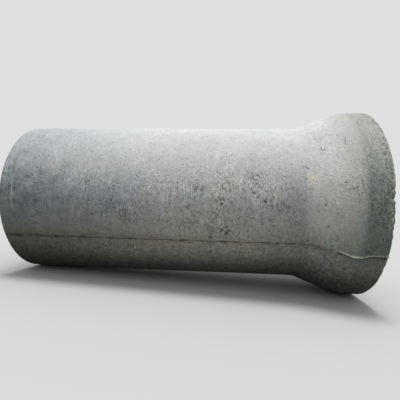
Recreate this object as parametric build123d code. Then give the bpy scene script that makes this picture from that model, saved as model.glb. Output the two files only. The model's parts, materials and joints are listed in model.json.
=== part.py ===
from build123d import *
import math
import os

# A precast concrete sewer pipe with a bell-and-spigot joint. It is cast as one
# piece, so it is one solid: a half section turned once about the pipe's axis.
#
# In the half section, x is measured along the axis from the end face of the
# spigot, and r outwards from the axis. All sizes are in millimetres.
#
# The finished pipe lies on a level floor as it comes to rest by itself: on the
# bell's shoulder and on the heel of the spigot, so its axis rises a little
# towards the bell. The origin is on the floor below the middle of its box, +X
# runs along the pipe towards the bell mouth, and +Z is up.

# Barrel
bore_diameter = 1000.0
wall = 100.0
laying_length = 2500.0       # end face of the spigot to the shoulder in the socket

# Spigot: a seat for the rubber ring, a little lower than the barrel
seat_length = 85.0
seat_step = 3.0
nose_bevel = 12.0            # 45 degree bevel that lets the ring slide on

# Socket: the hollow in the bell that takes the next pipe's spigot
socket_depth = 150.0
ring_gap = 15.0              # room for the ring between spigot seat and socket
mouth_bevel_length = 24.0
mouth_bevel_rise = 10.0
root_radius = 10.0           # round in the corner of the socket's shoulder

# Bell: the thickened end that carries the socket
bell_wall = 110.0
shoulder_cover = 17.0        # full thickness of bell behind the socket's shoulder
flare_length = 322.0
flare_hollow_radius = 150.0  # round where the barrel turns into the flare
flare_crest_radius = 60.0    # round where the flare turns into the bell

# Small edges left by the mould
rim_radius = 8.0
bore_bevel = 8.0

# Radii and places that follow from the sizes above
bore_radius = bore_diameter / 2
barrel_radius = bore_radius + wall
seat_radius = barrel_radius - seat_step
socket_radius = seat_radius + ring_gap
bell_radius = socket_radius + bell_wall
overall_length = laying_length + socket_depth
bell_start = laying_length - shoulder_cover
flare_start = bell_start - flare_length
flare_angle = math.atan2(bell_radius - barrel_radius, flare_length)


def rounded(section, corner, radius):
    """Round the corner of a flat section that lies at the point given as (x, r)."""
    vertex = section.vertices().sort_by_distance((corner[0], corner[1], 0))[0]
    return fillet(vertex, radius)


def half_section():
    """The wall of the pipe on one side of its axis, with x along X and r along Y."""
    flare_hollow = (flare_start, barrel_radius)
    flare_crest = (bell_start, bell_radius)
    rim = (overall_length, bell_radius)
    socket_root = (laying_length, socket_radius)
    outline = Polyline(
        (0, bore_radius + bore_bevel),
        (0, seat_radius - nose_bevel),
        (nose_bevel, seat_radius),
        (seat_length, seat_radius),
        (seat_length + seat_step, barrel_radius),
        flare_hollow,
        flare_crest,
        rim,
        (overall_length, socket_radius + mouth_bevel_rise),
        (overall_length - mouth_bevel_length, socket_radius),
        socket_root,
        (laying_length, bore_radius + bore_bevel),
        (laying_length - bore_bevel, bore_radius),
        (bore_bevel, bore_radius),
        close=True,
    )
    section = make_face(outline)
    section = rounded(section, flare_hollow, flare_hollow_radius)
    section = rounded(section, flare_crest, flare_crest_radius)
    section = rounded(section, rim, rim_radius)
    section = rounded(section, socket_root, root_radius)
    return section


def tilt_over(heel):
    """Angle between the axis and a floor that touches a heel (x, r) and the bell's crest."""
    centre_x = bell_start + flare_crest_radius * math.tan(flare_angle / 2)
    centre_r = bell_radius - flare_crest_radius
    run = centre_x - heel[0]
    rise = centre_r - heel[1]
    return math.atan2(rise, run) + math.asin(flare_crest_radius / math.hypot(run, rise))


def rest_tilt():
    """Angle of the axis once the spigot end has sunk until it touches the floor."""
    seat_heel = (nose_bevel, seat_radius)
    barrel_heel = (seat_length + seat_step, barrel_radius)
    return min(tilt_over(seat_heel), tilt_over(barrel_heel))


def laid_on_floor(pipe):
    """Tilt the pipe to its rest and put the bottom centre of its box at the origin."""
    lying = Rot(0, -math.degrees(rest_tilt()), 0) * pipe
    box = lying.bounding_box()
    return Pos(-box.center().X, -box.center().Y, -box.min.Z) * lying


concrete_pipe = laid_on_floor(revolve(half_section(), Axis.X))
concrete_pipe.label = "concrete_pipe"

os.makedirs("parts", exist_ok=True)
export_step(concrete_pipe, "parts/concrete_pipe.step")

print(f"overall length {overall_length:.1f}, barrel diameter {2 * barrel_radius:.1f}")
print(f"bell diameter {2 * bell_radius:.1f}, socket diameter {2 * socket_radius:.1f}")
print(f"axis rises {math.degrees(rest_tilt()):.3f} degrees towards the bell")
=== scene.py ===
# %% [markdown]
# # A concrete sewer pipe
#
# This lesson dresses one cast concrete pipe: a barrel with a plain spigot at
# one end and a flared bell at the other. The solid model of the pipe is loaded
# first and is never moved. The pipe that shows is built round the same axis
# with the same sizes, and gets what casting and storage leave on a real one:
# mould joints with a ragged fin, a broken rim, air holes, streaks and stains.

# %% Load the solid model
import json
import math

import bmesh
import bpy
from mathutils import Matrix, Vector, noise
from mathutils.bvhtree import BVHTree


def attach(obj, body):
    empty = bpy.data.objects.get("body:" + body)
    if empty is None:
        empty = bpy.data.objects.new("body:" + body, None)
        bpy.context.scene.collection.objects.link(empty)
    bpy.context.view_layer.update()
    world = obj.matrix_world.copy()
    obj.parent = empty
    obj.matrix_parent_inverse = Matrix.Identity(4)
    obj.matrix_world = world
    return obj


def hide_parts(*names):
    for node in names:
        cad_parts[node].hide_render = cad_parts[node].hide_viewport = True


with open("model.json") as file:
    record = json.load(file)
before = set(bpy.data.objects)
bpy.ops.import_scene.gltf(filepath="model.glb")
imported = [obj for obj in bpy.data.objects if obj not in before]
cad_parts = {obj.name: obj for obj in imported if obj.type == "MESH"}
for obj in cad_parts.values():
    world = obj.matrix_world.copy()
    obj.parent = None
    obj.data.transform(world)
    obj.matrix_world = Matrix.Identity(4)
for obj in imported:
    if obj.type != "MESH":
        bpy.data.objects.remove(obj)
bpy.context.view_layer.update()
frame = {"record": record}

mounts = {mount["name"]: mount for mount in frame["record"]["mounts"]}

# %% [markdown]
# ## The pipe's own axes
#
# The pipe lies on its bell and on the heel of its spigot, so its axis rises a
# little towards the bell. Everything below is worked out in the pipe's own
# axes, where x starts at the end face of the spigot and runs along the axis.
# One matrix then lays it down. Reading the axis from the solid model's mounts,
# rather than typing the angle again, keeps both models together.

# %% Work out how the pipe lies
axis_direction = Vector(mounts["waterway"]["axis"]).normalized()
axis_point = Vector(mounts["waterway"]["pos_m"])
spigot_point = Vector(mounts["spigot_face"]["pos_m"])
spigot_centre = axis_point + axis_direction * (spigot_point - axis_point).dot(axis_direction)
rest_tilt = math.atan2(axis_direction.z, axis_direction.x)
laid = Matrix.Translation(spigot_centre) @ Matrix.Rotation(-rest_tilt, 4, "Y")
print(f"axis rises {math.degrees(rest_tilt):.3f} degrees, spigot centre {tuple(spigot_centre)}")

# %% [markdown]
# ## Sizes
#
# The radii come from the mounts of the solid model. The lengths are those of
# the real pipe, in metres, and every other place follows from them.

# %% Sizes in metres
bore_radius = mounts["waterway"]["dims"]["r_mm"] / 1000
socket_radius = mounts["socket"]["dims"]["r_mm"] / 1000
seat_radius = mounts["spigot_seat"]["dims"]["r_mm"] / 1000
seat_step = 0.003
barrel_radius = seat_radius + seat_step
bell_wall = 0.110
bell_radius = socket_radius + bell_wall

laying_length = 2.500
socket_depth = 0.150
seat_length = 0.085
flare_length = 0.322
shoulder_cover = 0.017
overall_length = laying_length + socket_depth
bell_start = laying_length - shoulder_cover
flare_start = bell_start - flare_length
flare_angle = math.atan2(bell_radius - barrel_radius, flare_length)
print(f"bell radius {bell_radius:.3f}, flare angle {math.degrees(flare_angle):.2f} degrees")

# %% Small edges in metres
bore_bevel = 0.008
nose_bevel = 0.012
mouth_bevel_length, mouth_bevel_rise = 0.024, 0.010
flare_hollow_radius, flare_crest_radius = 0.150, 0.060
rim_radius, root_radius = 0.008, 0.010
print("nose bevel", nose_bevel, "rim radius", rim_radius)

# %% [markdown]
# ## The camera
#
# A camera was fitted to the outlines of the pipe in the photograph, so the
# lens, the distance and the three turns of the camera are known in the pipe's
# own axes. Turning them by the same matrix as the pipe keeps the view, however
# the pipe lies on the floor.

# %% Place the camera
image_width = 400
focal_pixels = 316.74
camera_from_spigot = 1.6350
camera_distance = 2.7204
camera_drop = 0.0793
camera_yaw = math.radians(-5.009)
camera_pitch = math.radians(1.677)
camera_roll = math.radians(1.427)

camera_data = bpy.data.cameras.new("camera")
camera_data.sensor_width = 36.0
camera_data.lens = camera_data.sensor_width * focal_pixels / image_width
camera = bpy.data.objects.new("camera", camera_data)
bpy.context.scene.collection.objects.link(camera)
look = Matrix.Rotation(-camera_yaw, 4, "Z")
look = look @ Matrix.Rotation(math.radians(90) + camera_pitch, 4, "X")
look = look @ Matrix.Rotation(camera_roll, 4, "Z")
stand_point = Vector((camera_from_spigot, -camera_distance, -camera_drop))
camera.matrix_world = laid @ Matrix.Translation(stand_point) @ look
bpy.context.scene.camera = camera
print(f"lens {camera_data.lens:.2f} mm, camera at {tuple(camera.matrix_world.translation)}")

# %% [markdown]
# ## The outline of the wall
#
# A turned shape needs only its half section. It could be a curve with a screw
# modifier, but a bmesh outline can be rounded with the bevel operator and then
# cut finely only where detail will go. The corners are the real ones: nose
# bevel, ring seat, barrel, flare, bell, rim, socket, shoulder and bore. Two
# more points, one on each side of the rim, only mark where fine rows start.

# %% Draw the corners
outline = bmesh.new()
fine_length, fine_width = 0.040, 0.034
corners = {
    "spigot_inner": (0.0, bore_radius + bore_bevel),
    "spigot_outer": (0.0, seat_radius - nose_bevel),
    "nose": (nose_bevel, seat_radius),
    "seat_end": (seat_length, seat_radius),
    "barrel_start": (seat_length + seat_step, barrel_radius),
    "flare_hollow": (flare_start, barrel_radius),
    "flare_crest": (bell_start, bell_radius),
    "rim_rows": (overall_length - fine_length, bell_radius),
    "rim": (overall_length, bell_radius),
    "face_rows": (overall_length, bell_radius - fine_width),
    "mouth_outer": (overall_length, socket_radius + mouth_bevel_rise),
    "mouth_inner": (overall_length - mouth_bevel_length, socket_radius),
    "socket_root": (laying_length, socket_radius),
    "shoulder": (laying_length, bore_radius + bore_bevel),
    "bore_end": (laying_length - bore_bevel, bore_radius),
    "bore_start": (bore_bevel, bore_radius),
}
points = {name: outline.verts.new((x, r, 0.0)) for name, (x, r) in corners.items()}
ring = list(points.values())
for start, end in zip(ring, ring[1:] + ring[:1]):
    outline.edges.new((start, end))
print("corners:", len(ring))

# %% [markdown]
# A rounded corner is a bevel of one point. Its offset is the distance from the
# corner to where an arc of the wanted radius touches both edges, so it depends
# on how sharply the outline turns there.

# %% Round the corners
def round_corner(name, radius, turn, segments):
    """Round a corner to a radius; turn is how far the outline changes direction there."""
    offset = radius * math.tan(turn / 2)
    bmesh.ops.bevel(outline, geom=[points[name]], offset=offset, offset_type="OFFSET",
                    affect="VERTICES", segments=segments, profile=0.5, material=-1)


quarter_turn = math.radians(90)
round_corner("flare_hollow", flare_hollow_radius, flare_angle, 6)
round_corner("flare_crest", flare_crest_radius, flare_angle, 4)
round_corner("rim", rim_radius, quarter_turn, 4)
round_corner("socket_root", root_radius, quarter_turn, 4)
print("outline corners after rounding:", len(outline.verts))

# %% [markdown]
# Long edges are now cut into rows. The rows are close together on the flare
# and the bell, where the fin and the broken rim go, wider on the barrel, and
# widest in the bore, which is smooth.

# %% Cut the outline into rows
rim_row, bell_row, end_row, barrel_row, bore_row = 0.0035, 0.008, 0.015, 0.030, 0.120


def row_spacing(middle):
    """Distance between rows for the stretch of outline round this point."""
    if middle.x > overall_length - 0.045 and middle.y > bell_radius - 0.036:
        return rim_row
    if middle.y > bell_radius - 0.001 or middle.x > flare_start and middle.y > barrel_radius + 0.02:
        return bell_row
    if middle.y > barrel_radius - 0.01 and middle.x < flare_start:
        return barrel_row
    if middle.x > laying_length - 0.002 or middle.x < 0.001:
        return end_row
    return bore_row


for edge in list(outline.edges):
    middle = (edge.verts[0].co + edge.verts[1].co) / 2
    cuts = int(edge.calc_length() / row_spacing(middle))
    if cuts > 0:
        bmesh.ops.subdivide_edges(outline, edges=[edge], cuts=cuts)
print("rows:", len(outline.verts))

# %% [markdown]
# ## Turning the outline
#
# One spin of even steps would spread detail evenly round the pipe. The mould
# was made of two half shells, and their two joints need narrow steps, so the
# outline is spun in four arcs: a fine one across each joint, and a coarse one
# between them. The last arc ends on the first outline, so merging the doubles
# closes the pipe.

# %% Spin in arcs
joint_angle = math.radians(210.25)
joint_band = math.radians(1.9)
fine_steps = 19
coarse_steps = 208
merge_distance = 1e-5


def spin_arc(geometry, angle, steps):
    """Turn the geometry on about the axis and give back its last copy."""
    turned = bmesh.ops.spin(outline, geom=geometry, cent=(0, 0, 0), axis=(1, 0, 0),
                            dvec=(0, 0, 0), angle=angle, steps=steps,
                            use_merge=False, use_normal_flip=False, use_duplicate=False)
    return turned["geom_last"]


start_turn = Matrix.Rotation(joint_angle - joint_band, 4, "X")
bmesh.ops.transform(outline, matrix=start_turn, verts=outline.verts[:])
geometry = outline.verts[:] + outline.edges[:]
for half in range(2):
    geometry = spin_arc(geometry, 2 * joint_band, fine_steps)
    geometry = spin_arc(geometry, math.pi - 2 * joint_band, coarse_steps)
bmesh.ops.remove_doubles(outline, verts=outline.verts[:], dist=merge_distance)
bmesh.ops.recalc_face_normals(outline, faces=outline.faces[:])
open_edges = sum(1 for edge in outline.edges if not edge.is_manifold)
print("faces:", len(outline.faces), "open edges:", open_edges)

# %% [markdown]
# ## Relief from the mould
#
# A real casting is never as true as its drawing. Moving the vertices with
# noise gives soft waves a millimetre deep and a groove along each mould joint
# on the barrel. The waves only go inwards, so that the pipe never grows out of
# its true size.

# %% Helpers for the relief
def smooth(low, high, value):
    """0 below low, 1 above high and a smooth rise between them."""
    t = min(max((value - low) / (high - low), 0.0), 1.0)
    return t * t * (3 - 2 * t)


def along_noise(x, scale, row):
    """Noise that changes only along the pipe; each row is a pattern of its own."""
    return noise.noise(Vector((x * scale, row * 3.7, row * 1.9)))


def arc_to_joint(angle, radius):
    """Signed distance round the pipe to the nearest mould joint."""
    turn = (angle - joint_angle + math.pi / 2) % math.pi - math.pi / 2
    return turn * radius


eighth_turn = joint_angle + quarter_turn / 2
print("an eighth of the way round is", round(arc_to_joint(eighth_turn, barrel_radius), 3))

# %% Waves and the joint's groove
broad_wave, close_wave = 0.0012, 0.0006
groove_depth, groove_width, groove_wander = 0.0022, 0.0040, 0.003


def waves(place):
    """Depth of the soft waves of the casting at a place, never negative."""
    broad = noise.noise(place * 2.3) * 0.5 + 0.5
    close = noise.noise(place * 11.0) * 0.5 + 0.5
    return broad_wave * broad + close_wave * close


def groove(x, side):
    """Depth of the groove where the two half shells of the mould met."""
    worn = smooth(-0.35, 0.35, along_noise(x, 9.0, 1))
    wander = groove_wander * along_noise(x, 6.0, 2)
    return groove_depth * (0.3 + 0.7 * worn) * math.exp(-((side - wander) / groove_width) ** 2)


print("groove", groove_depth * 1000, "mm deep at most")

# %% [markdown]
# ## The fin
#
# On the bell the half shells did not close, and cement leaked out between
# them. It set as a thin ragged fin, which starts on the flare and stands out
# most near the crest. Its height and its wander to either side follow the
# photograph as a few steps along the pipe, and noise makes its edge ragged. Its
# thin steep sides come from a bell curve a few millimetres wide, which the fine
# band of the spin can hold.

# %% Height and course of the fin
fin_steps = [(2.33, 0.0), (2.37, 0.008), (2.42, 0.015), (2.475, 0.018), (2.50, 0.013),
             (2.54, 0.009), (2.60, 0.009), (2.65, 0.013)]
wander_steps = [(2.26, 0.0), (2.34, -0.011), (2.40, -0.003), (2.435, 0.006), (2.483, -0.002),
                (2.534, -0.015), (2.65, -0.015)]
upper_width, lower_width = 0.0050, 0.0030


def between_steps(steps, x):
    """The value at a place along the pipe, with smooth slopes between the steps."""
    for (x0, value0), (x1, value1) in zip(steps, steps[1:]):
        if x0 <= x <= x1 + 1e-6:
            return value0 + (value1 - value0) * smooth(x0, x1, x)
    return 0.0


def from_fin(x, side, which):
    """Distance from the fin's crest, positive on its lower side."""
    wander = between_steps(wander_steps, x) + 0.0022 * along_noise(x, 26.0, 3 + which)
    return side * which - wander


def fin(x, away, which):
    """Height of the cement fin above the flare and the bell."""
    ragged = 0.86 + 0.40 * along_noise(x, 34.0, 6 + which) + 0.60 * along_noise(x, 75.0, 9 + which)
    width = upper_width if away < 0 else lower_width
    return between_steps(fin_steps, x) * max(ragged, 0.25) * math.exp(-(away / width) ** 2)


print("fin", 1000 * max(h for x, h in fin_steps), "mm high at most")

# %% [markdown]
# ## The broken rim
#
# Pipes are rolled and lifted by the bell, so its outer edge is nibbled all
# round, and broken back further along one stretch that faces the camera. Each
# vertex near the edge is pushed diagonally into the wall, the more the nearer
# it lies to the edge, which leaves a rounded break.

# %% Depth of the break
fine_nibble, coarse_nibble = 0.0030, 0.0042
break_depth, coarse_break, fine_break = 0.006, 0.010, 0.009


def facing(angle, centre, half_width):
    """1 at one angle round the pipe, falling softly to 0 at half_width from it."""
    away = abs((angle - math.radians(centre) + math.pi) % (2 * math.pi) - math.pi)
    return 1 - smooth(0.35 * math.radians(half_width), math.radians(half_width), away)


def rim_break(angle):
    """How far the rim's outer edge is broken back at an angle round the pipe."""
    on_rim = Vector((math.cos(angle), math.sin(angle), 0.0)) * bell_radius
    nibble = fine_nibble * smooth(-0.1, 0.6, noise.noise(on_rim * 45.0))
    nibble += coarse_nibble * smooth(0.0, 0.6, noise.noise(on_rim * 17.0 + Vector((5, 2, 8))))
    stretch = facing(angle, 187, 18) + 0.5 * facing(angle, 245, 14) + 0.7 * facing(angle, 20, 22)
    broken = break_depth + coarse_break * noise.noise(on_rim * 21.0)
    broken += fine_break * noise.noise(on_rim * 50.0)
    return nibble + stretch * max(broken, 0.002)


def push_in(x, radius, depth):
    """Share of the break's depth that reaches a point beside the rim's edge."""
    away = math.hypot(overall_length - x, bell_radius - radius)
    return depth * max(1 - away / (0.010 + 2.6 * depth), 0.0) ** 1.5


print("deepest break", round(1000 * max(rim_break(math.radians(a)) for a in range(360)), 1), "mm")

# %% [markdown]
# The vertices are moved in one loop, which leaves the bore and the socket
# alone. It also writes two layers of numbers on them, where a painted shadow
# with some dirt goes under the fin and where the fin's edge is pale cement with
# a painted highlight, which the material will read.

# %% Move the vertices
shadow_and_dirt_layer = outline.verts.layers.float.new("fin_shadow_and_dirt")
pale_and_highlight_layer = outline.verts.layers.float.new("fin_pale_and_highlight")
for vertex in outline.verts:
    x, y, z = vertex.co
    radius, angle = math.hypot(y, z), math.atan2(z, y)
    outward = Vector((0.0, y, z)) / radius
    in_socket = x > laying_length - 0.001 and radius < socket_radius + 0.012
    if in_socket or radius < barrel_radius - 0.02:
        continue
    side = arc_to_joint(angle, radius)
    which = 1.0 if math.sin(angle) < 0 else -1.0
    on_face = x > overall_length - 1e-5
    away = from_fin(x, side, which)
    raised = 0.0 if on_face else fin(x, away, which)
    grown = smooth(0.002, 0.008, between_steps(fin_steps, x))
    # The first layer holds a painted shadow with some dirt under the fin, the second the fin's pale
    # cement with a painted highlight.
    vertex[shadow_and_dirt_layer] = grown * smooth(0.002, 0.006, away) * (1 - smooth(0.009, 0.020, away))
    vertex[pale_and_highlight_layer] = smooth(0.002, 0.008, raised)
    move = raised - (0.0 if on_face else waves(vertex.co))
    move -= groove(x, side) * (1 - smooth(2.25, 2.35, x))
    pushed = push_in(x, radius, rim_break(angle)) / math.sqrt(2)
    vertex.co += outward * (move - pushed)
    vertex.co.x -= pushed
print("relief shaped")

# %% [markdown]
# The mesh is laid down with the pipe's matrix, so its place is in its
# vertices and its object stays at the origin, as the solid model's does. A
# search tree of its faces is kept for placing marks later.

# %% Make the pipe's object
bmesh.ops.transform(outline, matrix=laid, verts=outline.verts[:])
surface_tree = BVHTree.FromBMesh(outline)
mesh = bpy.data.meshes.new("pipe_casting")
outline.to_mesh(mesh)
outline.free()
mesh.shade_smooth()
pipe = bpy.data.objects.new("pipe_casting", mesh)
bpy.context.scene.collection.objects.link(pipe)
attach(pipe, "root")
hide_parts("concrete_pipe")
print("triangles:", sum(len(p.vertices) - 2 for p in mesh.polygons))

# %% [markdown]
# ## A helper for materials
#
# Shader maths is easier to read as sums than as a web of nodes. This small
# class wraps a socket: an expression such as `1 - mask * 0.5` adds the Math
# nodes it needs. Every other node comes from one function that takes the
# node's type, its settings and the values or links of its sockets.

# %% Wrap sockets for maths
class Signal:
    """A number in a shader, taken from an output socket."""

    def __init__(self, paint, socket):
        self.paint, self.socket = paint, socket

    def maths(self, operation, *values):
        """Add a Math node that works on these values."""
        return self.paint.node("Math", {"operation": operation}, dict(enumerate(values)))

    def __add__(self, other):
        return self.maths("ADD", self, other)

    def __sub__(self, other):
        return self.maths("SUBTRACT", self, other)

    def __rsub__(self, other):
        return self.maths("SUBTRACT", other, self)

    def __mul__(self, other):
        return self.maths("MULTIPLY", self, other)

    def __truediv__(self, other):
        return self.maths("DIVIDE", self, other)

    def __pow__(self, other):
        return self.maths("POWER", self, other)

    def __abs__(self):
        return self.maths("ABSOLUTE", self)

    __radd__, __rmul__ = __add__, __mul__

    def clear(self, low, high):
        """0 where the number is below low, 1 above high, smooth between."""
        return self.paint.node("MapRange", {"interpolation_type": "SMOOTHSTEP"},
                               {"Value": self, "From Min": low, "From Max": high})

    def between(self, low, rise, fall, high):
        """1 between rise and fall, with smooth slopes down to low and high."""
        return self.clear(low, rise) * (1 - self.clear(fall, high))


class Paint:
    """A material, or the world, whose nodes are made by one method."""

    def __init__(self, owner):
        owner.use_nodes = True
        self.colour = (1.0, 1.0, 1.0, 1.0)
        self.tree = owner.node_tree
        self.tree.nodes.clear()

    def node(self, kind, settings, sockets, output=0):
        """Add a node: its type, its settings, and the values or links of its sockets."""
        made = self.tree.nodes.new("ShaderNode" + kind)
        for name, value in settings.items():
            setattr(made, name, value)
        for name, value in sockets.items():
            if isinstance(value, Signal):
                self.tree.links.new(value.socket, made.inputs[name])
            else:
                made.inputs[name].default_value = value
        return Signal(self, made.outputs[output]) if made.outputs else made

    def noise(self, where, scale, detail=2.0, roughness=0.5):
        """Noise about zero, mostly between -0.3 and 0.3."""
        return self.node("TexNoise", {}, {"Vector": where, "Scale": scale, "Detail": detail,
                                          "Roughness": roughness}) - 0.5

    def wash(self, mask, shade):
        """Multiply the paint's colour by a grey, a colour or a signal where the mask is 1."""
        if isinstance(shade, float):
            shade = (shade, shade, shade)
        if isinstance(shade, tuple):
            shade = (*shade, 1.0)
        self.colour = self.node("Mix", {"data_type": "RGBA", "blend_type": "MULTIPLY"},
                                {0: mask, 6: self.colour, 7: shade}, output=2)

    def stretch(self, where, x, y, z):
        """Scale coordinates, so that a noise grows finer along the axes with large numbers."""
        return self.node("Mapping", {}, {"Vector": where, "Scale": (x, y, z)})

    def seen_directly(self):
        """1 for rays that come straight from the camera, a mirror or a glass."""
        camera_ray, glossy_ray, glass_ray = (
            self.node("LightPath", {}, {}, output=n) for n in (0, 3, 6))
        return (camera_ray + glossy_ray + glass_ray).clear(0.0, 1.0)


print("helpers ready")

# %% [markdown]
# ## Where on the pipe
#
# The material reads Object coordinates and turns them back into the pipe's own
# axes with a Mapping node. From those come the distance from the axis, how far
# a point faces up, and its distance from the plane of the two mould joints, so
# every stain and streak can be told where to be.

# %% Find the place on the pipe in the shader
concrete = bpy.data.materials.new("cast_concrete")
paint = Paint(concrete)
object_place = paint.node("TexCoord", {}, {}, output=3)
place = paint.node("Mapping", {"vector_type": "TEXTURE"}, {
    "Vector": object_place, "Location": tuple(spigot_centre), "Rotation": (0.0, -rest_tilt, 0.0)})
along, across, height = (
    paint.node("SeparateXYZ", {}, {"Vector": place}, output=n) for n in range(3))
radius = (across * across + height * height) ** 0.5
facing_up = height / radius
from_joint = height * math.cos(joint_angle) - across * math.sin(joint_angle)
socket_inside = along.clear(laying_length - 0.006, laying_length - 0.002) * (
    1 - radius.clear(socket_radius + 0.012, socket_radius + 0.016))
bore_inside = 1 - radius.clear(bore_radius + 0.010, bore_radius + 0.014)
inside = socket_inside.maths("MAXIMUM", socket_inside, bore_inside)
print("nodes for the place:", len(paint.tree.nodes))

# %% [markdown]
# ## Mottles
#
# Light and dark specks of one or two centimetres cover the cast skin, where
# cement, water and release oil met the mould. The top of the pipe is rained on
# and bleached, so the specks are fainter there, and the spigot end, which is
# also painted in shade, has larger soft ones. Noises of different scales are
# added: clouds, blotches, specks and grain, and stretched ones give the streaks
# round the pipe.

# %% Add up the noises
cloud = paint.noise(place, 8.0, detail=2.0)
blotch = paint.noise(place, 21.0, detail=2.0, roughness=0.6)
speck = paint.noise(paint.stretch(place, 64.0, 46.0, 46.0), 1.0, detail=2.0, roughness=0.7)
grain = paint.noise(paint.stretch(place, 130.0, 105.0, 105.0), 1.0, detail=1.0)
streak = paint.noise(paint.stretch(place, 95.0, 6.0, 6.0), 1.0, detail=1.0)
dash = paint.noise(paint.stretch(place, 110.0, 30.0, 30.0), 1.0, detail=1.0)
print("noises ready:", len(paint.tree.nodes), "nodes")

# %% [markdown]
# How strong the specks are depends on the place, so the next cell makes masks
# for the washed top, the spigot end that is painted in shade, the pitted side of
# the barrel, the flare, the bell and the strip below the joint. The sum of all
# noises, times their strength, is one shade near 1 that the colour is
# multiplied by last.

# %% Set the strength of the mottles
washed = facing_up.clear(0.05, 0.60)
# Mask of the spigot end, which the broad areas below paint in shade.
shaded_spigot_end = 1 - along.clear(-0.10, 1.20)
pitted = along.between(0.80, 1.45, 2.05, 2.24) * facing_up.between(-0.52, -0.28, 0.16, 0.46)
on_flare = along.between(flare_start, flare_start + 0.06, bell_start - 0.06, bell_start)
on_bell = along.clear(bell_start - 0.01, bell_start + 0.03)
uneven = paint.noise(place, 6.0, detail=2.0).clear(-0.14, 0.14)
below_joint = 1 - facing_up.clear(-0.60, -0.48)
flare_side = on_flare * facing_up.between(-0.46, -0.28, 0.20, 0.60)
low_pits = along.between(1.10, 1.45, 2.05, 2.24) * facing_up.between(-0.60, -0.46, -0.20, 0.0)
strength = 0.60 + 0.23 * pitted + 0.10 * low_pits - 0.34 * washed + 0.45 * on_bell
strength = strength * (1 - 0.58 * flare_side)
strength = strength + 0.22 * washed * (shaded_spigot_end + on_flare)
strength = strength + 0.35 * below_joint * (1 - on_bell)
strength = strength * (0.72 + 0.56 * uneven) * (1 - 0.6 * inside)
mottle = speck * 1.15 + grain * 0.85 + dash * 0.65 + streak * 0.30 + blotch * 0.50
wide_speck = paint.noise(paint.stretch(place, 36.0, 27.0, 27.0), 1.0, detail=1.0)
damp_spots = shaded_spigot_end * (1.1 - washed) * (1 - 0.75 * inside)
damp_spots = damp_spots * (0.2 + 0.8 * facing_up.clear(-0.35, 0.0))
shade = 1 + mottle * strength + cloud * 0.20 + damp_spots * (blotch * 1.0 + cloud * 0.8)
shade = shade + wide_speck * (
    washed * (0.16 + 0.22 * shaded_spigot_end) + 0.34 * on_flare * (1 - washed) + 0.80 * below_joint)
print("mottles ready:", len(paint.tree.nodes), "nodes")

# %% [markdown]
# ## Points of the photograph
#
# Some marks are put where the photograph shows them. Each is written as a
# point of the photograph, 400 by 400. A ray from the camera through that point
# finds the place on the pipe's surface, so the mark belongs to the pipe and
# stays there from every side. A renderer keeps only a few hundred numbers while
# it works a material out, so each mark costs one distance. Ovals are distances
# too, in coordinates that are squeezed once for each shape.

# %% Cast a point onto the pipe
def on_pipe(point):
    """The place on the pipe, in its own axes, that a point of the photograph shows."""
    u, v = point
    ray = Vector(((u - image_width / 2) / focal_pixels, (image_width / 2 - v) / focal_pixels, -1.0))
    start = camera.matrix_world.translation
    hit = surface_tree.ray_cast(start, camera.matrix_world.to_3x3() @ ray)[0]
    return laid.inverted() @ hit


shapes = {"line": 0.11, "long": 0.68, "round": 1.0, "tall": 1.65, "streak": 3.3}
squeezed = {name: paint.stretch(place, 1.0, 1 / tallness, 1 / tallness)
            for name, tallness in shapes.items()}


def gap_between(where, centre):
    """Distance of coordinates from a fixed point."""
    return paint.node("VectorMath", {"operation": "DISTANCE"}, {0: where, 1: centre}, output=1)


def reach_from(point, half_length, shape):
    """Distance from a point of the photograph, 1 at the edge of an oval of this size."""
    spot, tallness = on_pipe(point), shapes[shape]
    centre = (spot.x, spot.y / tallness, spot.z / tallness)
    return gap_between(squeezed[shape], centre) / half_length


print("the middle of the picture is at", [round(v, 3) for v in on_pipe((200, 200))])

# %% [markdown]
# ## Air holes
#
# Air that was trapped against the mould left small holes. Voronoi cells
# scatter the round ones: a cell has a hole at its centre when its random number
# is above a limit, and the limit is low where holes crowd together, on the
# side of the barrel and along the joint. Bending the coordinates with noise
# makes them irregular.

# %% Scatter the holes
bend_reach = 0.010
middle_of_bend = Vector((bend_reach, bend_reach, bend_reach)) / 2
bend = paint.node("TexNoise", {}, {"Vector": place, "Scale": 90.0, "Detail": 2.0}, output=1)
bent_place = paint.node("VectorMath", {"operation": "MULTIPLY_ADD"}, {
    0: bend, 1: (bend_reach, bend_reach, bend_reach), 2: place})
by_joint = 1 - abs(from_joint).clear(0.010, 0.034)


def scatter_holes(cells_per_metre, size, chance):
    """Round dark spots at the centres of some cells; chance may change over the pipe."""
    settings = {"Vector": bent_place, "Scale": cells_per_metre}
    distance = paint.node("TexVoronoi", {"feature": "F1"}, settings)
    random = paint.node("TexVoronoi", {"feature": "F1"}, settings, output=1)
    pick, big = (paint.node("SeparateColor", {}, {"Color": random}, output=n) for n in range(2))
    spread = size * (0.5 + big)
    spot = 1 - (distance / spread).clear(0.65, 1.0)
    return spot * (pick + chance).clear(0.99, 1.01)


chance = 0.05 + 0.12 * pitted + 0.25 * by_joint - 0.04 * washed
small_holes = scatter_holes(70.0, 0.26, chance + 0.04 + 0.05 * (1 - washed) * (1 - on_flare))
large_holes = scatter_holes(30.0, 0.17, chance)
print("round holes ready:", len(paint.tree.nodes), "nodes")

# %% [markdown]
# Where the skin is torn as well, the lowest valleys of a noise give small
# ragged pits, and its highest peaks pale flecks beside them. They crowd in
# patches that the photograph shows, each an oval round a point of it.

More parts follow.
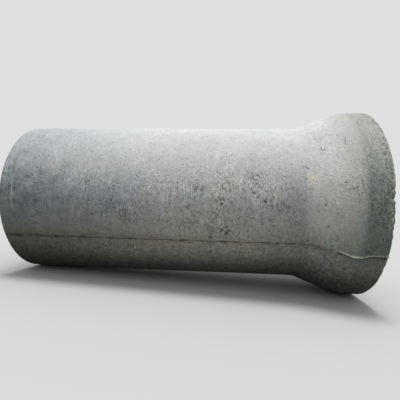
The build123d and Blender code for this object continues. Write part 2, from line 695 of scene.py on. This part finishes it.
# %% Ragged pits
torn = paint.noise(paint.stretch(place, 80.0, 56.0, 56.0), 1.0, detail=1.0, roughness=0.6)
patchy = paint.noise(place, 11.0, detail=1.0)
near_rim = along.clear(overall_length - 0.100, overall_length - 0.020) * (1 - inside)
torn_patches = [((224, 183), 0.06, "tall"), ((255, 184), 0.09, "tall"), ((271, 202), 0.08, "round"),
                ((219, 226), 0.09, "tall"), ((184, 229), 0.12, "long"), ((199, 187), 0.06, "round"),
                ((221, 201), 0.05, "tall"), ((128, 211), 0.12, "round"), ((96, 208), 0.09, "round"),
                ((303, 168), 0.07, "tall"), ((350, 190), 0.10, "round"), ((88, 182), 0.10, "round"),
                ((112, 192), 0.08, "tall"), ((145, 186), 0.10, "round"), ((30, 174), 0.06, "round")]
far_away = 9.0
nearest_patch = far_away
for point, half_length, shape in torn_patches:
    reach = reach_from(point, half_length, shape)
    nearest_patch = reach.maths("MINIMUM", nearest_patch, reach)
torn_patch = 1 - (nearest_patch + patchy).clear(0.4, 1.2)
torn_rim = near_rim * facing_up.between(-0.30, -0.05, 0.80, 0.95)
torn_joint = by_joint * along.between(1.95, 2.10, 2.33, 2.40)
valley = torn + 0.220 - 0.045 * pitted - 0.30 * patchy + 0.06 * washed * (1 - torn_rim)
valley = valley - 0.085 * torn_patch
valley = valley - 0.03 * by_joint - 0.09 * torn_rim - 0.10 * torn_joint
ragged_pits = 1 - valley.clear(-0.03, 0.03)
peak = torn - 0.22 + 0.03 * pitted + 0.06 * torn_patch + 0.25 * patchy
flecks = peak.clear(0.0, 0.06) * (1 - washed)
holes = small_holes.maths("MAXIMUM", small_holes, large_holes)
holes = holes.maths("MAXIMUM", holes, ragged_pits * 0.8) * (1 - inside * 0.8)
print("torn patches:", len(torn_patches))

# %% [markdown]
# ## Marks that the photograph shows
#
# Some holes are plain enough to be put where they are, listed here by their
# radius. Their distances are taken from the bent coordinates, so they are not
# quite round, and one mask holds them all, because only the nearest counts.

# %% Marked holes
photo_holes = {
    0.00484: [
        (202, 189), (194, 200), (226, 178), (230, 191), (235, 189), (258, 183), (253, 188),
        (262, 188), (241, 198), (251, 208), (265, 159), (292, 164), (307, 168), (308, 190),
        (248, 230), (298, 224), (297, 236), (190, 243), (208, 243), (147, 235), (166, 235),
        (114, 244), (337, 236), (338, 240), (321, 148), (26, 175), (346, 182), (302, 241)],
    0.00704: [
        (220, 200), (222, 204), (254, 194), (293, 188), (274, 226), (213, 231), (211.5, 234),
        (326, 205), (307, 241), (293, 244), (37, 167), (332, 246), (331, 250), (92, 214)],
    0.00924: [(265, 202), (221.5, 230), (227, 227), (229.5, 231)],
    0.01188: [(210.3, 237.3), (226.5, 233)],
}
nearest = far_away
for hole_radius, spots in photo_holes.items():
    for spot in spots:
        centre = on_pipe(spot) + middle_of_bend
        gap = gap_between(bent_place, tuple(centre)) / hole_radius
        nearest = gap.maths("MINIMUM", nearest, gap)
marked_holes = 1 - nearest.clear(0.7, 1.25)
print("marked holes:", sum(len(spots) for spots in photo_holes.values()))

# %% [markdown]
# ## Washes of colour
#
# Concrete weathers in broad soft areas, and light and shade are painted into a
# few of them. The spigot end is painted darker and bluish, which is painted
# shade, the underside has a warm film of dirt, the side of the flare is painted
# paler and warmer, which is a painted highlight, and the bell has a darker
# green-grey skin. Each area is a mask and a shade, and the colour is multiplied
# by one after the other, as washes of thin paint would do.

# %% Broad areas
low_side = 1 - facing_up.clear(-0.42, -0.05)
flare = along.between(flare_start - 0.03, flare_start + 0.05, bell_start - 0.10, bell_start + 0.03)
band_edge = along + blotch * 0.02
rim_face = along.clear(overall_length - 0.003, overall_length - 0.0005)
bell_band = band_edge.clear(bell_start - 0.020, bell_start + 0.026)
bell_band = bell_band * (1 - inside) * (1 - 0.6 * rim_face)
side_on = facing_up.between(-0.55, -0.15, 0.20, 0.65)
paint.colour = (0.612, 0.624, 0.624, 1.0)
# Painted shade: the spigot end is darker and bluish, most of all below its top.
paint.wash(shaded_spigot_end, (0.66, 0.70, 0.73))
paint.wash(shaded_spigot_end * (1 - facing_up.clear(0.10, 0.60)), (0.74, 0.77, 0.77))
paint.wash(along.between(-0.1, 0.2, 0.8, 1.3) * facing_up.between(-0.45, -0.20, 0.10, 0.35),
           (0.96, 0.98, 1.02))
paint.wash(along.between(1.80, 2.06, 2.13, 2.19) * (1 - facing_up.clear(0.0, 0.45)),
           (0.90, 0.90, 0.92))
# Painted highlight: the side of the flare is painted paler and warmer.
paint.wash(flare * side_on, (1.225, 1.22, 1.185))
paint.wash(along.between(2.36, 2.44, 2.48, 2.50) * side_on, (0.985, 1.02, 0.98))
paint.wash(along.clear(2.30, 2.49) * (1 - inside), (0.82, 0.81, 0.78))
paint.wash(low_side, (1.03, 1.00, 0.92))
paint.wash(low_side * along.clear(2.12, 2.30), (0.97, 1.01, 1.06))
paint.wash(low_side * along.between(2.25, 2.38, 2.46, 2.50), (0.99, 1.04, 0.98))
paint.wash(bell_band, (0.765, 0.78, 0.765))
print("nodes after the broad areas:", len(paint.tree.nodes))

# %% [markdown]
# Smaller areas come next, placed by how far along the pipe they lie and how far
# they face up. Most are a little darker, the side of the bell turns green-grey,
# and the strip that faces down is darkest. That dark strip and the darker low
# side near the spigot end are painted shade.

# %% Narrower areas
paint.wash(along.between(2.42, 2.47, 2.52, 2.56) * facing_up.between(-0.70, -0.50, -0.22, -0.10),
           (0.95, 1.00, 1.02))
paint.wash(along.between(2.02, 2.08, 2.16, 2.22) * facing_up.between(-0.60, -0.45, -0.22, -0.10),
           (0.95, 0.985, 1.02))
paint.wash(along.between(-0.1, 0.0, 0.40, 0.70) * facing_up.between(-0.32, -0.18, 0.04, 0.16),
           (0.93, 0.925, 0.92))
paint.wash(along.between(-0.1, 0.0, 0.30, 0.60) * (1 - facing_up.clear(-0.52, -0.36)),
           (1.07, 1.02, 0.95))
paint.wash(along.between(1.20, 1.50, 1.90, 2.10) * facing_up.between(-0.05, 0.05, 0.14, 0.28),
           (1.09, 1.09, 1.08))
paint.wash(bell_band * facing_up.clear(-0.60, -0.46) * (1 - facing_up.clear(0.05, 0.60)),
           (0.72, 0.80, 0.77))
paint.wash(near_rim * facing_up.clear(0.30, 0.65), (0.86, 0.86, 0.85))
# Painted shade: the low side of the spigot end is darker.
paint.wash(shaded_spigot_end * (1 - facing_up.clear(-0.62, -0.35)), 0.72)
# Painted shade: the low side of the barrel near the spigot end is a little darker.
paint.wash(along.between(0.2, 0.5, 0.9, 1.2) * facing_up.between(-0.75, -0.55, -0.10, 0.10), 0.91)
paint.wash(along.between(1.10, 1.35, 1.80, 2.00) * (1 - facing_up.clear(-0.45, -0.20)), 1.13)
paint.wash(along.between(2.08, 2.18, 2.47, 2.50) * (1 - facing_up.clear(-0.50, -0.22)), 0.90)
# Painted shade: the strip that faces down is darkest.
paint.wash(1 - facing_up.clear(-0.88, -0.58), (0.50, 0.50, 0.53))
paint.wash(inside, (0.96, 0.97, 0.95))
paint.wash(on_bell * (1 - inside) * facing_up.between(-0.30, -0.12, 0.25, 0.45), 0.95)
paint.wash(along.between(0.05, 0.15, 0.30, 0.45) * facing_up.between(0.02, 0.09, 0.16, 0.24), 0.91)
print("nodes after the narrower areas:", len(paint.tree.nodes))

# %% [markdown]
# Cement never sets to one even grey. Two soft noises tint it very faintly, one
# between cool and warm, the other between green and pink.

# %% Clouds of hue
bluish = paint.noise(place, 7.5, detail=2.0)
greenish = paint.noise(place, 10.5, detail=2.0)
clearer = 1 - 0.5 * washed
for hue, low_tint, high_tint in (
        (bluish, (0.975, 0.992, 1.02), (1.02, 1.005, 0.975)),
        (greenish, (0.985, 1.01, 0.99), (1.01, 0.99, 1.01))):
    paint.wash((1 - hue.clear(-0.22, 0.02)) * clearer, low_tint)
    paint.wash(hue.clear(-0.02, 0.22) * clearer, high_tint)
paint.wash(below_joint * greenish.clear(-0.14, 0.14) * (1 - inside), (0.99, 1.01, 0.93))
print("nodes after the clouds:", len(paint.tree.nodes))

# %% [markdown]
# ## Stains
#
# Each stain is a point of the photograph, half its length in metres, one of the
# oval shapes, and its tint. The specks eat into its edge, so that it has no
# outline of its own.

# %% Stains
photo_stains = [
    ((52, 164), 0.035, "round", (1.09, 1.05, 0.95)),
    ((78, 168), 0.055, "round", (1.02, 0.99, 0.99)),
    ((135, 140), 0.050, "round", (1.02, 1.02, 0.98)),
    ((314, 178), 0.040, "round", (1.08, 1.03, 0.96)),
    ((200, 195), 0.135, "round", (0.95, 0.98, 0.96)),
    ((250, 174), 0.080, "long", (0.97, 0.97, 0.92)),
    ((246, 197), 0.070, "round", (0.95, 0.94, 0.97)),
    ((296, 200), 0.120, "round", (0.91, 0.92, 0.96)),
    ((170, 197), 0.100, "round", (0.95, 0.97, 0.98)),
    ((110, 200), 0.160, "long", (0.93, 0.95, 0.98)),
    ((100, 212), 0.130, "line", 0.86),
    ((40, 172), 0.030, "tall", 0.90),
    ((20, 206), 0.040, "tall", 0.88),
    ((227, 232), 0.017, "streak", 0.80),
    ((210, 236), 0.015, "streak", 0.80),
    ((220, 221), 0.016, "streak", (1.16, 1.16, 1.14)),
]
for spot, half_length, shape, tint in photo_stains:
    reach = reach_from(spot, half_length, shape)
    paint.wash(1 - (reach + speck * 0.8).clear(0.30, 1.20), tint)
print("stains:", len(photo_stains))

# %% [markdown]
# ## Scrapes
#
# Lifting straps and rolling scraped pale lines round the barrel. Most are the
# highest peaks of a noise that is stretched round the pipe, so each line is
# thin and a few centimetres long. The plainest ones are put where the
# photograph shows them, each from one point of it to another: the mask is 1
# near the plane through both points and the pipe's surface.

# %% Scrape lines
camera_side = 1 - across.clear(-0.2, 0.0)


def scrape_between(start_point, end_point, half_width):
    """1 on a thin line over the pipe between two points of the photograph."""
    start, end = on_pipe(start_point), on_pipe(end_point)
    outward = Vector((0.0, start.y + end.y, start.z + end.z)).normalized()
    sideways = (end - start).cross(outward).normalized()
    forward = (end - start) / (end - start).length_squared
    beside, ahead = (paint.node("VectorMath", {"operation": "DOT_PRODUCT"}, {
        0: bent_place, 1: tuple(way)}, output=1) - start.dot(way) for way in (sideways, forward))
    off_line = abs(beside - middle_of_bend.dot(sideways))
    return (1 - off_line.clear(half_width * 0.4, half_width)) * (
        ahead.between(-0.05, 0.1, 0.85, 1.0) * camera_side)


# The pale ring near the end of the spigot's seat is a painted highlight, drawn like a scrape line.
seat_highlight_lines = [((11.9, 181), (12.1, 211), 0.0080)]
pale_lines = [((13.0, 152), (12.0, 180), 0.003), ((99, 167), (99, 176), 0.004),
              ((102.4, 167), (102.4, 177), 0.004), ((60.5, 172), (61.5, 214), 0.003),
              ((124, 192), (124.5, 209), 0.003), ((110, 176), (109, 182), 0.005),
              ((219.5, 216), (220, 225), 0.005), ((223, 215), (223.5, 224), 0.004),
              ((56, 150), (57, 166), 0.003)]
dark_lines = [((345, 136), (345.5, 144), 0.0045), ((362.5, 178), (363, 184), 0.0045),
              ((104.6, 227), (112, 232), 0.0055), ((221, 196), (221, 207), 0.004),
              ((201, 189), (205, 184), 0.0045), ((126, 219), (136, 222), 0.0035),
              ((319.5, 149), (323, 150), 0.0045), ((323, 150.3), (326.5, 147.8), 0.0045),
              ((150, 237.2), (160.5, 237.4), 0.004), ((161, 239.8), (167, 239.6), 0.004),
              ((32, 234.0), (41, 234.4), 0.003), ((32, 237.4), (41, 237.8), 0.003),
              ((80, 235.0), (88, 235.8), 0.003), ((215.5, 208.5), (221, 210.3), 0.0045),
              ((256.5, 182.5), (260, 185.5), 0.004)]
scrape_noise = paint.noise(paint.stretch(place, 150.0, 11.0, 11.0), 1.0, detail=0.0)
scraped = paint.noise(place, 4.0, detail=1.0).clear(-0.08, 0.12) * (1 - along.clear(1.6, 2.3))
scrapes = (scrape_noise - 0.10).clear(0.0, 0.08) * scraped
scrapes = scrapes * facing_up.between(-0.45, -0.2, 0.45, 0.7)
paint.wash(scrapes * (1 - inside), 1.20)
lines_and_tints = ((seat_highlight_lines, 1.55), (pale_lines, 1.30), (dark_lines, (0.55, 0.54, 0.53)))
for lines, tint in lines_and_tints:
    for first, last, half_width in lines:
        paint.wash(scrape_between(first, last, half_width), tint)
print("lines:", sum(len(lines) for lines, tint in lines_and_tints))

# %% [markdown]
# ## The joint line, the fin and the rim
#
# Dirt has settled in the joint's groove. Noises that change only along the pipe
# let the line wander, swell and fade, and the grain frays its edge. A second,
# fainter line runs a centimetre beside it in places.

# %% The joint lines
drift_reach, line_lift, line_wobble, second_drop = 0.006, 0.002, 0.016, 0.012
drift = paint.noise(paint.stretch(place, 6.0, 0.0, 0.0), 1.0, detail=1.0) * drift_reach
joint_dirt = paint.noise(paint.stretch(place, 14.0, 0.0, 0.0), 1.0, detail=3.0)
on_barrel = (1 - along.clear(2.27, 2.33)) * (1 - 0.45 * along.clear(2.02, 2.12))
thick_line = 0.008 + 0.024 * joint_dirt.clear(-0.10, 0.40) + 0.003 * (1 - along.clear(0.3, 0.9))
off_line = abs(from_joint + drift + line_lift + grain * line_wobble)
joint_line = (1 - (off_line / thick_line).clear(0.10, 1.0)) * (
    joint_dirt.clear(-0.24, 0.12) * 0.75 + 0.25) * on_barrel * (1 - inside)
second_dirt = paint.noise(paint.stretch(place, 10.0, 0.0, 0.0), 1.0, detail=1.0)
second_line = (1 - abs(from_joint + drift - second_drop).clear(0.0010, 0.0050)) * (
    second_dirt.clear(0.02, 0.14)) * on_barrel * (1 - inside)
print("nodes after the joint lines:", len(paint.tree.nodes))

# %% [markdown]
# Under the fin goes a painted shadow with some dirt, and the fin's edge is pale
# fresh cement with a painted highlight. Both come from the layers that were
# written when the vertices moved. Near the bell's rim the skin is speckled with
# lime, and where the edge broke the paler inside of the concrete shows.

# %% Fin shadow and highlight, lime and the broken edge
fin_shadow_and_dirt, fin_pale_and_highlight = (paint.node("Attribute", {"attribute_name": name}, {}, output=2)
                      for name in ("fin_shadow_and_dirt", "fin_pale_and_highlight"))
fin_wear_and_highlight = paint.noise(paint.stretch(place, 55.0, 0.0, 0.0), 1.0, detail=2.0).clear(-0.10, 0.12)
lime = paint.noise(place, 60.0, detail=2.0, roughness=0.6).clear(0.03, 0.12)
edge_gap = ((along - overall_length) ** 2 + (radius - bell_radius) ** 2) ** 0.5
broken_edge = (1 - (edge_gap + speck * 0.012).clear(0.006, 0.016)) * (1 - inside)
above_joint = (from_joint + patchy * 0.03).between(-0.058, -0.040, -0.006, 0.003)
print("nodes after the masks:", len(paint.tree.nodes))

# %% [markdown]
# The last washes go from the widest mark to the smallest. The shade of the
# mottles comes at the very end, over everything.

# %% The last washes
paint.wash(above_joint * (1 - along.clear(1.2, 2.3)) * (1 - inside), (0.90, 0.905, 0.87))
paint.wash(joint_line, (0.40, 0.385, 0.36))
paint.wash(second_line, (0.60, 0.58, 0.55))
# Painted shadow with some dirt under the fin.
paint.wash(fin_shadow_and_dirt, (0.42, 0.41, 0.39))
# Pale cement and a painted highlight along the fin's edge.
paint.wash(fin_pale_and_highlight * (0.30 + 0.70 * fin_wear_and_highlight), (1.80, 1.80, 1.82))
paint.wash(by_joint * (1 - inside) * 0.5, (0.90, 0.88, 0.82))
paint.wash(near_rim * lime * facing_up.between(-0.45, -0.20, 0.70, 0.90), (1.65, 1.62, 1.60))
paint.wash(flecks * (1 - inside), (1.30, 1.29, 1.27))
paint.wash(broken_edge, (1.22, 1.20, 1.16))
paint.wash(holes, (0.50, 0.49, 0.47))
paint.wash(marked_holes, (0.46, 0.45, 0.43))
paint.wash(1.0, shade)
print("nodes after the last wash:", len(paint.tree.nodes))

# %% [markdown]
# ## The surface
#
# Concrete is matt, so the roughness stays high and changes only a little. The
# same noises that colour the skin also drive a Bump node, so light and colour
# agree. Holes are pressed in further than the specks.

# %% Bump and roughness
relief = blotch * 0.4 + speck * 1.0 + grain * 0.8 + dash * 0.5 - holes * 0.9 - marked_holes * 1.2
bump = paint.node("Bump", {}, {"Strength": 0.7, "Distance": 0.004, "Height": relief})
surface = paint.node("BsdfPrincipled", {}, {
    "Base Color": paint.colour, "Roughness": 0.90 - 0.10 * bell_band + speck * 0.12,
    "Normal": bump, "Specular IOR Level": 0.2})
paint.node("OutputMaterial", {}, {"Surface": surface})
pipe.data.materials.append(concrete)
print("nodes in the concrete:", len(paint.tree.nodes))

# %% [markdown]
# ## Floor and light
#
# The floor is pale to the camera. To the light that bounces between surfaces
# it is darker, as open ground is, so that the underside of the pipe stays in
# shade.

# %% Lay the floor
floor_half_width = 60.0
floor_mesh = bmesh.new()
bmesh.ops.create_grid(floor_mesh, x_segments=1, y_segments=1, size=floor_half_width)
floor_data = bpy.data.meshes.new("floor")
floor_mesh.to_mesh(floor_data)
floor_mesh.free()
floor = bpy.data.objects.new("floor", floor_data)
bpy.context.scene.collection.objects.link(floor)

floor_material = bpy.data.materials.new("floor")
floor_paint = Paint(floor_material)
pale = floor_paint.node("BsdfDiffuse", {}, {"Color": (0.52, 0.52, 0.515, 1)})
dark = floor_paint.node("BsdfDiffuse", {}, {"Color": (0.055, 0.050, 0.040, 1)})
floor_mix = floor_paint.node("MixShader", {}, {0: floor_paint.seen_directly(), 1: dark, 2: pale})
floor_paint.node("OutputMaterial", {}, {"Surface": floor_mix})
floor_data.materials.append(floor_material)
print("floor", 2 * floor_half_width, "metres wide")

# %% [markdown]
# The light is that of an overcast day: a soft sky that is dimmer near the
# horizon, and one wide lamp from almost straight above, whose shadows have no
# hard edge. The camera itself sees an even backdrop instead of the sky.

# %% Set the sky and the lamp
horizon_light, zenith_gain = 0.35, 0.40
lamp_strength, lamp_spread, lamp_lean = 2.1, math.radians(22), math.radians(1)

world = bpy.data.worlds.new("sky")
bpy.context.scene.world = world
sky = Paint(world)
backdrop = sky.node("Background", {}, {"Color": (0.74, 0.75, 0.755, 1), "Strength": 1.0})
direction = sky.node("TexCoord", {}, {}, output=0)
upward = sky.node("SeparateXYZ", {}, {"Vector": direction}, output=2)
brightness = horizon_light + zenith_gain * upward.clear(0.0, 0.35)
dome = sky.node("Background", {}, {"Color": (1.0, 1.0, 1.0, 1), "Strength": brightness})
both = sky.node("MixShader", {}, {0: sky.seen_directly(), 1: dome, 2: backdrop})
sky.node("OutputWorld", {}, {"Surface": both})

lamp_data = bpy.data.lights.new("overhead", "SUN")
lamp_data.energy = lamp_strength
lamp_data.angle = lamp_spread
lamp = bpy.data.objects.new("overhead", lamp_data)
lamp.matrix_world = Matrix.Rotation(lamp_lean, 4, "X")
bpy.context.scene.collection.objects.link(lamp)
print("lamp strength", lamp_strength)

# %% [markdown]
# ## Finish
#
# The Standard view shows the colours as they were mixed.

# %% Finish
bpy.context.scene.view_settings.view_transform = "Standard"
